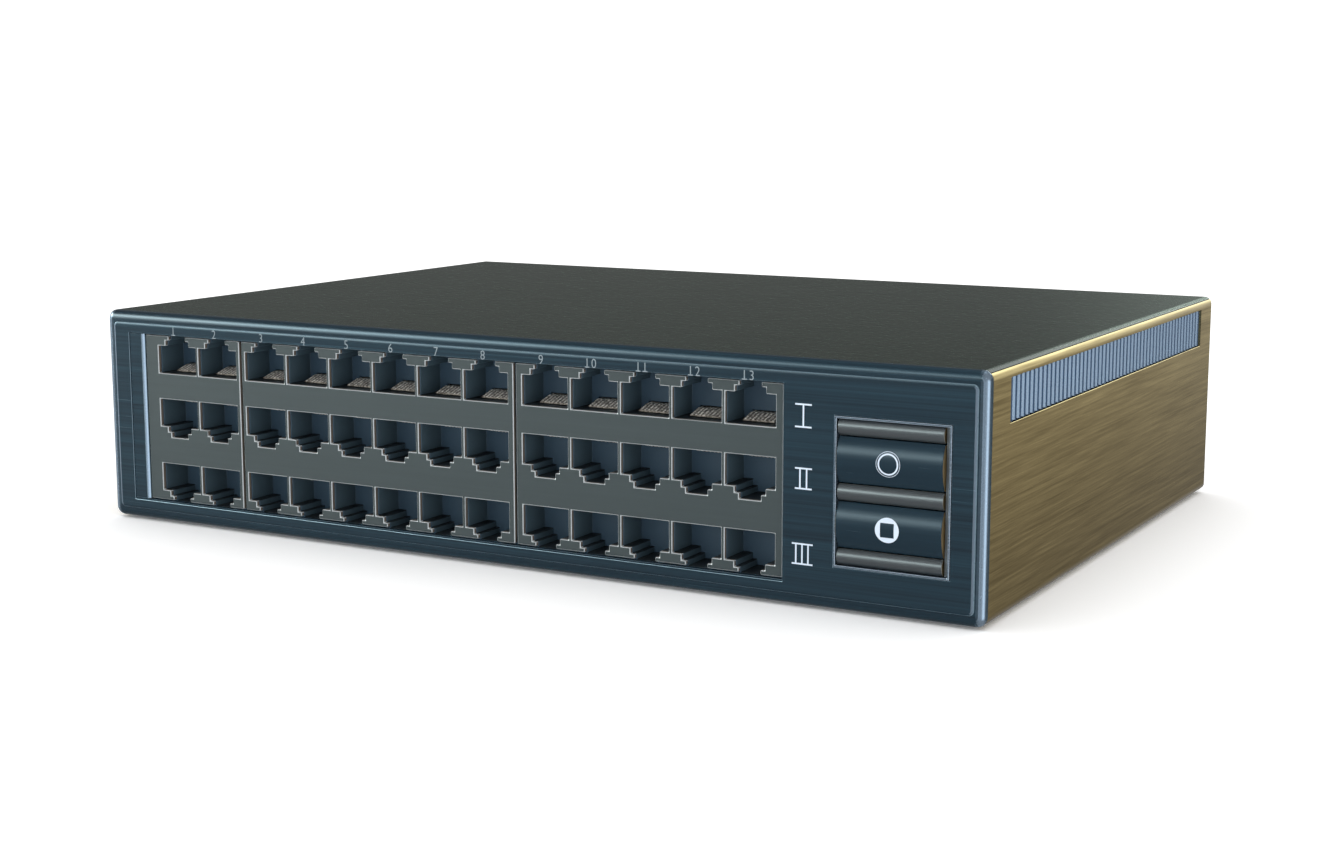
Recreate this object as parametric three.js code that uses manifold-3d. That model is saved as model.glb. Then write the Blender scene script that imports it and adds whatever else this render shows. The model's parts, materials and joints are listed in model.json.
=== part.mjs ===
// A compact network switch: thirty-nine modular jacks in three rows and two push bars in a brushed metal
// casing, with its boards, power supply, fan, power inlet and feet inside it.
//
// Millimetres. X runs to the right as seen from the front, Y from front to back, Z up. The origin is the
// middle of the underside of the whole object's box. Every sub-part is drawn in the casing's own frame,
// which starts at the casing's lower left front corner, and the last lines move that frame to the origin.
import * as THREE from "three";
import { mergeVertices } from "three/addons/utils/BufferGeometryUtils.js";
import Module from "manifold-3d";

const wasm = await Module();
wasm.setup();

// ---------------------------------------------------------------------------------------------------
// Driving dimensions

// Casing
const WIDTH = 254;
const HEIGHT = 56.8;
const DEPTH = 181;
const EDGE_RADIUS = 2.5; // the long edges of the casing, and the bezel's corners
const REAR_RADIUS = 1.3;
const CHEEK = 2.5; // thickness of a side cheek
const COVER = 2.0;
const TRAY = 1.5;
const COVER_WRAP = THREE.MathUtils.degToRad(42); // how far the cover follows the rounded edge down
const SEAM = 0.12; // a seam that shows
const GAP = 0.3; // every other clearance between fixed pieces

// Bezel
const BEZEL_DEPTH = 1.7;
const BEZEL_ROUND = 2.3; // how far in from the outline the rounded rim starts
const BEZEL_FALL = 1.5; // how far back the rounded rim goes
const BEZEL_ROUND_STEPS = 6;
const PANEL_RAISE = 0.3;
const PANEL_LEFT = 2.7;
const PANEL_BOTTOM = 2.7;
const PANEL_TOP = HEIGHT - 3.15;
const PANEL_CORNER = 1.2;
const PANEL_SLOPE = 0.6; // the raised panel's sloping border: how wide it is
const PANEL_SLOPE_FALL = 0.14; // and how far back it goes
const SPIGOT_INSET = 2.9; // the frame behind the bezel that slips inside the casing
const SPIGOT_WALL = 1.0;
const SPIGOT_END = 4.5;

// Port bank
const WINDOW = { left: 8.1, right: 205.0, bottom: 5.5, top: 51.0 };
const WINDOW_SILL = 0.4; // the slope in front of the window's lower edge
const FILLER_RIGHT = 13.1;
const FILLER_SLOPE = 0.7; // the slope at the filler strip's right edge
const FILLER_FACE = -0.12;
const PLATE_FACE = 0.5;
const PLATE_THICKNESS = 1.2;
const PLATE_BOTTOM = 5.85;
const PLATE_TOP = 50.6;
const PORT_PITCH = 13.88;
const PORT_WIDTH = 13.0;
const PORT_HEIGHT = 7.5;
const NOTCH = [
  { width: 8.0, depth: 1.5 },
  { width: 5.7, depth: 1.4 },
];
const JACK_FRONT = 1.8;
const JACK_CAVITY = 8.5;
const JACK_BACK_WALL = 1.5;
const GROUPS = [
  { name: "left", ports: 2, first: 17.7, left: 13.3, right: 45.75 },
  { name: "middle", ports: 6, first: 47.67, left: 46.55, right: 131.7 },
  { name: "right", ports: 5, first: 134.2, left: 132.5, right: 204.65 },
];
const ROWS = [
  { name: "upper", floor: 40.45, up: 1, bottom: 37.1, top: 51.9 },
  { name: "middle", floor: 26.0, up: -1, bottom: 19.5, top: 36.8 },
  { name: "lower", floor: 8.4, up: -1, bottom: 4.4, top: 19.2 },
];
const CONTACT_WIDTH = 8.2;
const CONTACT_THICKNESS = 0.35;
const CONTACT_START = 4.8; // where the tongues start to rise
const CONTACT_END = 8.6; // where they start to be level
const CONTACT_LOW = 0.15; // their underside's height over the jack's floor, at their start
const CONTACT_RISE = 1.15;
const CONTACT_SLOT = { low: 0.9, high: 1.95 }; // the slot behind a jack, over its floor
const CONTACT_BAR = { low: 0.4, high: 3.4, thickness: 1.4 }; // the bar behind the block

// Push bars
const CONTROL = { left: 218.2, right: 245.1, bottom: 10.5, top: 44.0 };
const TRIM_WALL = 0.45;
const TRIM_PROUD = 0.2;
const BAR_HEIGHT = 3.85;
const BAR_LEFT = 218.5;
const BAR_RIGHT = 243.8;
const CONTROL_FLOOR = 0.5;
const BAR_CROWN = 0.95;
const CROWN = 1.5; // how far a cap bulges in front of the control floor
const CAP_BACK = 4.4;
const CAP_CLEARANCE = 0.22;
const TRAVEL = 1.5;
const STEM_RADIUS = 2.0;
const PLUNGER_RADIUS = 1.7;
const PLUNGER_DEPTH = 1.6; // how far the plunger is inside its switch when the cap is out
const SWITCH_SIZE = 9.4;
const SWITCH_FRONT = 9.9;
const BOARD_FRONT = 14.6;
const BOARD = 1.6;

// Side vents
const VENT = { front: 12.75, back: 169.15, bottom: 43.75, top: 53.95 };
const VENT_BARS = 53;
const VENT_GAP = 0.6;
const VENT_RAIL = 0.9; // how far the rim shows above and below the gaps
const VENT_INSET = 0.3; // how far the bars stand back from the cheek's face
const VENT_RIM = 1.6;
const VENT_LAP = 1.5; // how far the rim reaches behind the cheek

// Rear
const REAR_FACE = 180.0;
const REAR_PANEL = 1.5;
const REAR_PROUD = 1.0; // what stands behind the casing: the inlet's flange and the screw heads
const INLET = { x: 214, z: 24, width: 27, height: 19.6, depth: 16 };
const FAN = { x: 60, z: 28.4, size: 40, thick: 10, bore: 18.8 };
const SCREW_RADIUS = 1.4;
const SCREW_HEAD = 2.8;
const SCREW_HEIGHTS = [11, 36];

// Feet
const FOOT_RADIUS = 6.0;
const FOOT_PROUD = 0.7;
const FOOT_INSET_X = 22;
const FOOT_INSET_Y = 16;
const FOOT_LIP = { width: 1.5, thickness: 1.0 }; // the rim that holds a foot in the tray
const FOOT_CHAMFER = 0.5;

// ---------------------------------------------------------------------------------------------------
// Finishes

const finish = (color, roughness, metalness) =>
  new THREE.MeshStandardMaterial({ color, roughness, metalness });
const BLUE = finish(0x263a46, 0.42, 0.85);
const OLIVE = finish(0x4a4c44, 0.45, 0.85);
const BRONZE = finish(0x7a6c4b, 0.4, 0.9);
const VENT_BLUE = finish(0x6f8fb4, 0.3, 0.9);
const PLATE_GREY = finish(0x566060, 0.5, 0.7);
const JACK_NAVY = finish(0x232d35, 0.6, 0.0);
const GOLD = finish(0xa08c6c, 0.4, 0.9);
const BAR_GREY = finish(0x5b5c60, 0.35, 0.8);
const CAP_BLUE = finish(0x22343c, 0.3, 0.6);
const TRIM_BLUE = finish(0x8fa6bd, 0.3, 0.9);
const STEEL = finish(0x9a9da0, 0.4, 0.9);
const BOARD_GREEN = finish(0x1f5a3c, 0.6, 0.0);
const CHIP_BLACK = finish(0x1c1c1e, 0.6, 0.0);
const BLACK_PLASTIC = finish(0x18191b, 0.5, 0.0);
const WINDING_AMBER = finish(0x9c6a2c, 0.5, 0.2);
const RUBBER = finish(0x17181a, 0.9, 0.0);

// ---------------------------------------------------------------------------------------------------
// Shapes

const ARC_STEPS = 5;

// Points on an arc about (cx, cy), angles in radians.
function arc(cx, cy, radius, from, to, steps = ARC_STEPS) {
  const points = [];
  for (let i = 0; i <= steps; i += 1) {
    const angle = from + ((to - from) * i) / steps;
    points.push(new THREE.Vector2(cx + radius * Math.cos(angle), cy + radius * Math.sin(angle)));
  }
  return points;
}

function roundedRectangle(left, bottom, right, top, radius) {
  const quarter = Math.PI / 2;
  return new THREE.Shape([
    ...arc(right - radius, bottom + radius, radius, -quarter, 0),
    ...arc(right - radius, top - radius, radius, 0, quarter),
    ...arc(left + radius, top - radius, radius, quarter, 2 * quarter),
    ...arc(left + radius, bottom + radius, radius, 2 * quarter, 3 * quarter),
  ]);
}

function box(x0, x1, y0, y1, z0, z1) {
  const geometry = new THREE.BoxGeometry(x1 - x0, y1 - y0, z1 - z0);
  return geometry.translate((x0 + x1) / 2, (y0 + y1) / 2, (z0 + z1) / 2);
}

const straight = (depth) => ({ depth, bevelEnabled: false });

// A shape drawn in X and Z, from y0 back to y1.
function extrudeY(shape, y0, y1) {
  const geometry = new THREE.ExtrudeGeometry(shape, straight(y1 - y0));
  return geometry.rotateX(Math.PI / 2).translate(0, y1, 0);
}

// A shape drawn in X and Y, from z0 up to z1.
function extrudeZ(shape, z0, z1) {
  return new THREE.ExtrudeGeometry(shape, straight(z1 - z0)).translate(0, 0, z0);
}

// A shape drawn in Y and Z, from x0 across to x1.
function extrudeX(shape, x0, x1) {
  const turn = new THREE.Matrix4().makeBasis(
    new THREE.Vector3(0, 1, 0),
    new THREE.Vector3(0, 0, 1),
    new THREE.Vector3(1, 0, 0),
  );
  const geometry = new THREE.ExtrudeGeometry(shape, straight(x1 - x0));
  return geometry.applyMatrix4(turn).translate(x0, 0, 0);
}

// A round bar along Y.
function rodY(x, z, radius, y0, y1, sides = 20) {
  const geometry = new THREE.CylinderGeometry(radius, radius, y1 - y0, sides);
  return geometry.translate(x, (y0 + y1) / 2, z);
}

function rodZ(x, y, radius, z0, z1, sides = 20) {
  const geometry = new THREE.CylinderGeometry(radius, radius, z1 - z0, sides);
  return geometry.rotateX(Math.PI / 2).translate(x, y, (z0 + z1) / 2);
}

// ---------------------------------------------------------------------------------------------------
// Joins and cuts

function solid(shape) {
  if (!shape.isBufferGeometry) return shape;
  const bare = shape.clone();
  bare.deleteAttribute("normal");
  bare.deleteAttribute("uv");
  const merged = mergeVertices(bare, 1e-4);
  return new wasm.Manifold(
    new wasm.Mesh({
      numProp: 3,
      vertProperties: merged.attributes.position.array,
      triVerts: new Uint32Array(merged.index.array),
    }),
  );
}

const join = (...shapes) => shapes.map(solid).reduce((whole, next) => whole.add(next));
const cut = (body, ...tools) => tools.map(solid).reduce((left, tool) => left.subtract(tool), solid(body));
const common = (...shapes) => shapes.map(solid).reduce((whole, next) => whole.intersect(next));

function geometryOf(shape) {
  if (shape.isBufferGeometry) return shape;
  const mesh = shape.getMesh();
  const geometry = new THREE.BufferGeometry();
  geometry.setAttribute("position", new THREE.BufferAttribute(mesh.vertProperties, 3));
  geometry.setIndex(new THREE.BufferAttribute(mesh.triVerts, 1));
  const flat = geometry.toNonIndexed();
  flat.computeVertexNormals();
  return flat;
}

function piece(name, shape, material) {
  const mesh = new THREE.Mesh(geometryOf(shape), material);
  mesh.name = name;
  return mesh;
}

// The same outline on the other side of the casing's middle.
const mirrored = (points) => points.map((point) => new THREE.Vector2(WIDTH - point.x, point.y));

// ---------------------------------------------------------------------------------------------------
// Casing

const CASING_START = BEZEL_DEPTH + SEAM;
const INNER_LEFT = CHEEK + GAP;
const INNER_RIGHT = WIDTH - CHEEK - GAP;
const COVER_UNDERSIDE = HEIGHT - COVER;

// The rounded rear edges of the casing, as a solid that the cover and the cheeks are trimmed to.
function rearEnvelope() {
  const beyond = 20;
  const round = arc(DEPTH - REAR_RADIUS, HEIGHT - REAR_RADIUS, REAR_RADIUS, 0, Math.PI / 2);
  const fromSide = new THREE.Shape([
    new THREE.Vector2(-beyond, -beyond),
    new THREE.Vector2(DEPTH, -beyond),
    ...round,
    new THREE.Vector2(-beyond, HEIGHT),
  ]);
  const corner = arc(WIDTH - REAR_RADIUS, DEPTH - REAR_RADIUS, REAR_RADIUS, 0, Math.PI / 2);
  const fromAbove = new THREE.Shape([
    new THREE.Vector2(0, -beyond),
    new THREE.Vector2(WIDTH, -beyond),
    ...corner,
    ...mirrored(corner).reverse(),
  ]);
  return common(extrudeX(fromSide, -1, WIDTH + 1), extrudeZ(fromAbove, -1, HEIGHT + 1));
}

function topCover() {
  const wrapEnd = Math.PI / 2 - COVER_WRAP;
  const lipUnderside = HEIGHT - EDGE_RADIUS + EDGE_RADIUS * Math.sin(wrapEnd);
  const half = [
    new THREE.Vector2(INNER_RIGHT, COVER_UNDERSIDE),
    new THREE.Vector2(INNER_RIGHT, lipUnderside),
    ...arc(WIDTH - EDGE_RADIUS, HEIGHT - EDGE_RADIUS, EDGE_RADIUS, wrapEnd, Math.PI / 2),
  ];
  const outline = new THREE.Shape([...half, ...mirrored(half).reverse()]);
  return common(extrudeY(outline, CASING_START, DEPTH), rearEnvelope());
}

// The blocks inside a cheek that the rear screws go into
const BOSS_REACH = 7;
const BOSS_HALF = 3.5;
const BOSS_FRONT = 169.5;
const BOSS_BACK = REAR_FACE - REAR_PANEL - GAP;
const screwX = (side) => (side > 0 ? WIDTH - CHEEK - BOSS_HALF : CHEEK + BOSS_HALF);

// One cheek is drawn on the right; side -1 gives the left one.
function sideCheek(side) {
  const wrapEnd = Math.PI / 2 - COVER_WRAP;
  const top = HEIGHT - EDGE_RADIUS + EDGE_RADIUS * Math.sin(wrapEnd) - SEAM;
  const topAngle = Math.asin((top - HEIGHT + EDGE_RADIUS) / EDGE_RADIUS);
  const right = [
    new THREE.Vector2(WIDTH - CHEEK, 0),
    ...arc(WIDTH - EDGE_RADIUS, EDGE_RADIUS, EDGE_RADIUS, -Math.PI / 2, 0),
    ...arc(WIDTH - EDGE_RADIUS, HEIGHT - EDGE_RADIUS, EDGE_RADIUS, 0, topAngle, 3),
    new THREE.Vector2(WIDTH - CHEEK, top),
  ];
  const place = (x0, x1) => (side > 0 ? [x0, x1] : [WIDTH - x1, WIDTH - x0]);
  const outline = new THREE.Shape(side > 0 ? right : mirrored(right));
  const window = place(WIDTH - CHEEK - 1, WIDTH + 1);
  const boss = place(WIDTH - CHEEK - BOSS_REACH, WIDTH - CHEEK + 0.5);
  const bosses = SCREW_HEIGHTS.map((z) => box(...boss, BOSS_FRONT, BOSS_BACK, z - BOSS_HALF, z + BOSS_HALF));
  const boreY = [BOSS_FRONT - 1, BOSS_BACK + 1];
  const bores = SCREW_HEIGHTS.map((z) => rodY(screwX(side), z, SCREW_RADIUS + GAP, ...boreY));
  return cut(
    join(common(extrudeY(outline, CASING_START, DEPTH), rearEnvelope()), ...bosses),
    box(...window, VENT.front, VENT.back, VENT.bottom, VENT.top),
    ...bores,
  );
}

// Upright half-round bars that fill the window of a cheek, on an open rim behind the cheek.
function ventGrille(side) {
  const pitch = (VENT.back - VENT.front) / VENT_BARS;
  const radius = (pitch - VENT_GAP) / 2;
  const place = (x0, x1) => (side > 0 ? [x0, x1] : [WIDTH - x1, WIDTH - x0]);
  const rimBack = WIDTH - CHEEK - GAP - VENT_RIM;
  const rimX = place(rimBack, WIDTH - CHEEK - GAP);
  const holeX = place(rimBack - 1, WIDTH);
  const barBack = rimBack + VENT_RIM / 4;
  const rim = cut(
    box(...rimX, VENT.front - VENT_LAP, VENT.back + VENT_LAP, VENT.bottom - VENT_LAP, COVER_UNDERSIDE - GAP),
    box(...holeX, VENT.front + SEAM, VENT.back - SEAM, VENT.bottom + VENT_RAIL, VENT.top - VENT_RAIL),
  );
  const bars = Array.from({ length: VENT_BARS }, (_, i) => {
    const y = VENT.front + pitch * (i + 0.5);
    const right = [
      new THREE.Vector2(barBack, y - radius),
      ...arc(WIDTH - VENT_INSET - radius, y, radius, -Math.PI / 2, Math.PI / 2, 6),
      new THREE.Vector2(barBack, y + radius),
    ];
    const outline = new THREE.Shape(side > 0 ? right : mirrored(right));
    return extrudeZ(outline, VENT.bottom + SEAM, VENT.top - SEAM);
  });
  return join(rim, ...bars);
}

const TRAY_FLANGE = 9; // how high the tray's side flanges stand
const FLANGE_FRONT = 8;
const STANDOFF_RADIUS = 3;
const BOARD_BOTTOM = 8;
const MAIN_BOARD = { left: 14, right: 200, front: 20, back: 118 };
const POWER_BOARD = { left: 152, right: 244, front: 124, back: 163 };

function cornersOf(board, inset) {
  const corners = [];
  for (const x of [board.left + inset, board.right - inset]) {
    for (const y of [board.front + inset, board.back - inset]) corners.push([x, y]);
  }
  return corners;
}

function footCentres() {
  const centres = [];
  for (const [depthName, y] of [["front", FOOT_INSET_Y], ["rear", DEPTH - FOOT_INSET_Y]]) {
    centres.push({ name: `${depthName}_left`, x: FOOT_INSET_X, y });
    centres.push({ name: `${depthName}_right`, x: WIDTH - FOOT_INSET_X, y });
  }
  return centres;
}

function baseTray() {
  const floor = box(INNER_LEFT, INNER_RIGHT, CASING_START, REAR_FACE, 0, TRAY);
  const flangeBack = BOSS_FRONT - 2;
  const leftFlange = box(INNER_LEFT, INNER_LEFT + TRAY, FLANGE_FRONT, flangeBack, 0, TRAY_FLANGE);
  const rightFlange = box(INNER_RIGHT - TRAY, INNER_RIGHT, FLANGE_FRONT, flangeBack, 0, TRAY_FLANGE);
  const posts = [...cornersOf(MAIN_BOARD, 12), ...cornersOf(POWER_BOARD, 10)].map(([x, y]) =>
    rodZ(x, y, STANDOFF_RADIUS, TRAY / 2, BOARD_BOTTOM - GAP, 10),
  );
  const holes = footCentres().map(({ x, y }) => rodZ(x, y, FOOT_RADIUS + GAP, -1, TRAY + 1, 20));
  return cut(join(floor, leftFlange, rightFlange, ...posts), ...holes);
}

function foot({ x, y }) {
  const lipRadius = FOOT_RADIUS + FOOT_LIP.width;
  const lipBottom = TRAY + GAP;
  const lipTop = lipBottom + FOOT_LIP.thickness;
  const profile = [
    new THREE.Vector2(0, -FOOT_PROUD),
    new THREE.Vector2(FOOT_RADIUS - FOOT_CHAMFER, -FOOT_PROUD),
    new THREE.Vector2(FOOT_RADIUS, -FOOT_PROUD + FOOT_CHAMFER),
    new THREE.Vector2(FOOT_RADIUS, lipBottom),
    new THREE.Vector2(lipRadius, lipBottom),
    new THREE.Vector2(lipRadius, lipTop),
    new THREE.Vector2(0, lipTop),
  ];
  return new THREE.LatheGeometry(profile, 20).rotateX(Math.PI / 2).translate(x, y, 0);
}

// ---------------------------------------------------------------------------------------------------
// Bezel

function frontBezel() {
  const bevel = {
    depth: BEZEL_DEPTH,
    bevelEnabled: true,
    bevelSize: BEZEL_ROUND,
    bevelThickness: BEZEL_FALL,
    bevelSegments: BEZEL_ROUND_STEPS,
    bevelOffset: -BEZEL_ROUND,
  };
  const outline = roundedRectangle(0, 0, WIDTH, HEIGHT, EDGE_RADIUS);
  const pillow = new THREE.ExtrudeGeometry(outline, bevel)
    .rotateX(Math.PI / 2)
    .translate(0, BEZEL_FALL + BEZEL_DEPTH, 0);
  const slab = common(pillow, box(-1, WIDTH + 1, -1, BEZEL_DEPTH, -1, HEIGHT + 1));
  const panelRight = WIDTH - PANEL_LEFT;
  const panelOutline = roundedRectangle(PANEL_LEFT, PANEL_BOTTOM, panelRight, PANEL_TOP, PANEL_CORNER);
  const panelBevel = {
    depth: BEZEL_DEPTH / 2 + PANEL_RAISE - PANEL_SLOPE_FALL,
    bevelEnabled: true,
    bevelSize: PANEL_SLOPE,
    bevelThickness: PANEL_SLOPE_FALL,
    bevelSegments: 1,
    bevelOffset: -PANEL_SLOPE,
  };
  const panel = new THREE.ExtrudeGeometry(panelOutline, panelBevel)
    .rotateX(Math.PI / 2)
    .translate(0, BEZEL_DEPTH / 2, 0);
  const sill = new THREE.Shape([
    new THREE.Vector2(-PANEL_RAISE - 1, WINDOW.bottom - WINDOW_SILL - 1),
    new THREE.Vector2(WINDOW_SILL - PANEL_RAISE, WINDOW.bottom),
    new THREE.Vector2(WINDOW_SILL - PANEL_RAISE, WINDOW.bottom + 1),
    new THREE.Vector2(-PANEL_RAISE - 1, WINDOW.bottom + 1),
  ]);
  const outer = SPIGOT_INSET;
  const inner = SPIGOT_INSET + SPIGOT_WALL;
  const spigot = cut(
    box(outer, WIDTH - outer, BEZEL_DEPTH / 2, SPIGOT_END, outer, HEIGHT - outer),
    box(inner, WIDTH - inner, 0, SPIGOT_END + 1, inner, HEIGHT - inner),
  );
  const through = (area, margin) =>
    box(area.left - margin, area.right + margin, -5, 5, area.bottom - margin, area.top + margin);
  return cut(
    join(slab, panel, spigot),
    through(WINDOW, 0),
    extrudeX(sill, WINDOW.left, WINDOW.right),
    through(CONTROL, TRIM_WALL + SEAM),
  );
}

function fillerStrip() {
  const left = WINDOW.left + SEAM;
  const back = PLATE_FACE + PLATE_THICKNESS;
  const outline = new THREE.Shape([
    new THREE.Vector2(left, FILLER_FACE),
    new THREE.Vector2(FILLER_RIGHT - FILLER_SLOPE, FILLER_FACE),
    new THREE.Vector2(FILLER_RIGHT, PLATE_FACE),
    new THREE.Vector2(FILLER_RIGHT, back),
    new THREE.Vector2(left, back),
  ]);
  return extrudeZ(outline, WINDOW.bottom + SEAM, WINDOW.top - SEAM);
}

function controlTrim() {
  const outer = box(
    CONTROL.left - TRIM_WALL,
    CONTROL.right + TRIM_WALL,
    -PANEL_RAISE - TRIM_PROUD,
    BEZEL_DEPTH,
    CONTROL.bottom - TRIM_WALL,
    CONTROL.top + TRIM_WALL,
  );
  return cut(outer, box(CONTROL.left, CONTROL.right, -5, 5, CONTROL.bottom, CONTROL.top));
}

// ---------------------------------------------------------------------------------------------------
// Port bank

// The mouth of a jack: a rectangle with a two-step notch for the plug's latch, above or below it.
function portOutline(left, row) {
  const middle = left + PORT_WIDTH / 2;
  const ceiling = row.floor + PORT_HEIGHT;
  const notched = row.up > 0 ? ceiling : row.floor;
  const plain = row.up > 0 ? row.floor : ceiling;
  const half = [
    [PORT_WIDTH / 2, plain],
    [PORT_WIDTH / 2, notched],
  ];
  let level = notched;
  for (const step of NOTCH) {
    half.push([step.width / 2, level]);
    level += row.up * step.depth;
    half.push([step.width / 2, level]);
  }
  const rightSide = half.map(([x, z]) => new THREE.Vector2(middle + x, z));
  const leftSide = half.map(([x, z]) => new THREE.Vector2(middle - x, z)).reverse();
  return new THREE.Shape([...rightSide, ...leftSide]);
}

const portLefts = (group) => Array.from({ length: group.ports }, (_, i) => group.first + i * PORT_PITCH);

function portPlate(group) {
  const back = PLATE_FACE + PLATE_THICKNESS;
  const mouths = [];
  for (const row of ROWS) {
    for (const left of portLefts(group)) {
      mouths.push(extrudeY(portOutline(left, row), PLATE_FACE - 1, back + 1));
    }
  }
  return cut(box(group.left, group.right, PLATE_FACE, back, PLATE_BOTTOM, PLATE_TOP), ...mouths);
}

const JACK_CAVITY_BACK = JACK_FRONT + JACK_CAVITY;
const JACK_BACK = JACK_CAVITY_BACK + JACK_BACK_WALL;

// Where a contact insert lies in a row: on the side away from the notch.
function contactBand(row) {
  const base = row.up > 0 ? row.floor : row.floor + PORT_HEIGHT;
  return { base, into: row.up };
}

// The lower and upper heights of something that is given from a row's contact side.
function heightsOver(band, { low, high }) {
  return [low, high].map((height) => band.base + band.into * height).sort((a, b) => a - b);
}

// A jack block is one moulding for a row of a group, with a slot behind each jack for its contacts.
function jackBlock(group, row) {
  const lefts = portLefts(group);
  const block = box(group.left, group.right, JACK_FRONT, JACK_BACK, row.bottom, row.top);
  const band = contactBand(row);
  const slotZ = heightsOver(band, CONTACT_SLOT);
  const cavities = lefts.map((left) => extrudeY(portOutline(left, row), JACK_FRONT - 1, JACK_CAVITY_BACK));
  const slots = lefts.map((left) => {
    const middle = left + PORT_WIDTH / 2;
    const half = CONTACT_WIDTH / 2 + GAP;
    return box(middle - half, middle + half, JACK_CAVITY_BACK - 1, JACK_BACK + 1, ...slotZ);
  });
  return cut(block, ...cavities, ...slots);
}

// The contacts of a block are pushed in from behind: a bar with one rising tongue for each jack.
function contactInsert(group, row) {
  const lefts = portLefts(group);
  const band = contactBand(row);
  const at = (height) => band.base + band.into * height;
  const barFront = JACK_BACK + GAP;
  const barBack = barFront + CONTACT_BAR.thickness;
  const tongueBack = barBack - 0.2;
  const low = CONTACT_LOW;
  const high = low + CONTACT_RISE;
  const tongue = new THREE.Shape([
    new THREE.Vector2(CONTACT_START, at(low)),
    new THREE.Vector2(CONTACT_END, at(high)),
    new THREE.Vector2(tongueBack, at(high)),
    new THREE.Vector2(tongueBack, at(high + CONTACT_THICKNESS)),
    new THREE.Vector2(CONTACT_END, at(high + CONTACT_THICKNESS)),
    new THREE.Vector2(CONTACT_START, at(low + CONTACT_THICKNESS)),
  ]);
  const barZ = heightsOver(band, CONTACT_BAR);
  const right = lefts[lefts.length - 1] + PORT_WIDTH;
  const bar = box(lefts[0], right, barFront, barBack, ...barZ);
  const tongues = lefts.map((left) => {
    const middle = left + PORT_WIDTH / 2;
    return extrudeX(tongue, middle - CONTACT_WIDTH / 2, middle + CONTACT_WIDTH / 2);
  });
  return join(bar, ...tongues);
}

// ---------------------------------------------------------------------------------------------------
// Push bars

const capHeight = (CONTROL.top - CONTROL.bottom - 3 * BAR_HEIGHT) / 2;
const barBottoms = [0, 1, 2].map((i) => CONTROL.bottom + i * (BAR_HEIGHT + capHeight));
const capBottoms = [0, 1].map((i) => CONTROL.bottom + BAR_HEIGHT + i * (BAR_HEIGHT + capHeight));
const capMiddle = (i) => capBottoms[i] + capHeight / 2;
const HOUSING_FLOOR = 7.9;
const HOUSING_BACK = 9.4;
const HOUSING_WALL = 1.5;
const CAP_WALL = 1.2;
const CAP_FACE = 1.9; // where the hollow behind a cap's face starts
const STEM_FRONT = 1.5;
const STEM_BACK = HOUSING_FLOOR - 0.5;
const BAR_MIDDLE = (BAR_LEFT + BAR_RIGHT) / 2;

// A bulged front between two heights, on a straight body that ends at back.
function crownedOutline(bottom, top, crown, back, steps) {
  const half = (top - bottom) / 2;
  const radius = (half * half + crown * crown) / (2 * crown);
  const spread = Math.asin(half / radius);
  const centreY = CONTROL_FLOOR - crown + radius;
  const front = arc(centreY, bottom + half, radius, Math.PI + spread, Math.PI - spread, steps);
  return new THREE.Shape([new THREE.Vector2(back, bottom), ...front, new THREE.Vector2(back, top)]);
}

function gripBar(i) {
  const clear = i === 1 ? 0 : SEAM;
  const bottom = barBottoms[i] + (i === 0 ? clear : 0);
  const top = barBottoms[i] + BAR_HEIGHT - (i === 2 ? clear : 0);
  const outline = crownedOutline(bottom, top, BAR_CROWN, HOUSING_FLOOR - GAP, 8);
  return extrudeX(outline, BAR_LEFT, BAR_RIGHT);
}

function buttonCap(i) {
  const bottom = capBottoms[i] + CAP_CLEARANCE;
  const top = capBottoms[i] + capHeight - CAP_CLEARANCE;
  const outline = crownedOutline(bottom, top, CROWN, CAP_BACK, 12);
  const hollowX = [BAR_LEFT + CAP_WALL, BAR_RIGHT - CAP_WALL];
  const hollow = box(...hollowX, CAP_FACE, CAP_BACK + 1, bottom + CAP_WALL, top - CAP_WALL);
  return join(
    cut(extrudeX(outline, BAR_LEFT, BAR_RIGHT), hollow),
    rodY(BAR_MIDDLE, capMiddle(i), STEM_RADIUS, STEM_FRONT, STEM_BACK, 16),
  );
}

function controlHousing() {
  const wall = HOUSING_WALL;
  const left = CONTROL.left - GAP;
  const bottom = CONTROL.bottom - GAP;
  const top = CONTROL.top + GAP;
  const front = BEZEL_DEPTH + GAP;
  const stemHoles = [0, 1].map((i) =>
    rodY(BAR_MIDDLE, capMiddle(i), STEM_RADIUS + GAP, HOUSING_FLOOR - 1, HOUSING_BACK + 1, 16),
  );
  return cut(
    join(
      box(left - wall, CONTROL.right, HOUSING_FLOOR, HOUSING_BACK, bottom - wall, top + wall),
      box(left - wall, left, front, HOUSING_BACK, bottom - wall, top + wall),
      box(left - wall, CONTROL.right, front, HOUSING_BACK, bottom - wall, bottom),
      box(left - wall, CONTROL.right, front, HOUSING_BACK, top, top + wall),
      box(
        BAR_RIGHT + GAP,
        CONTROL.right - SEAM,
        CONTROL_FLOOR,
        HOUSING_BACK,
        CONTROL.bottom + SEAM,
        CONTROL.top - SEAM,
      ),
      box(BAR_RIGHT + GAP, CONTROL.right, front, HOUSING_BACK, bottom - wall, top + wall),
    ),
    ...stemHoles,
  );
}

function switchPlunger(i) {
  return rodY(BAR_MIDDLE, capMiddle(i), PLUNGER_RADIUS, STEM_BACK + GAP, SWITCH_FRONT + PLUNGER_DEPTH, 16);
}

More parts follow.
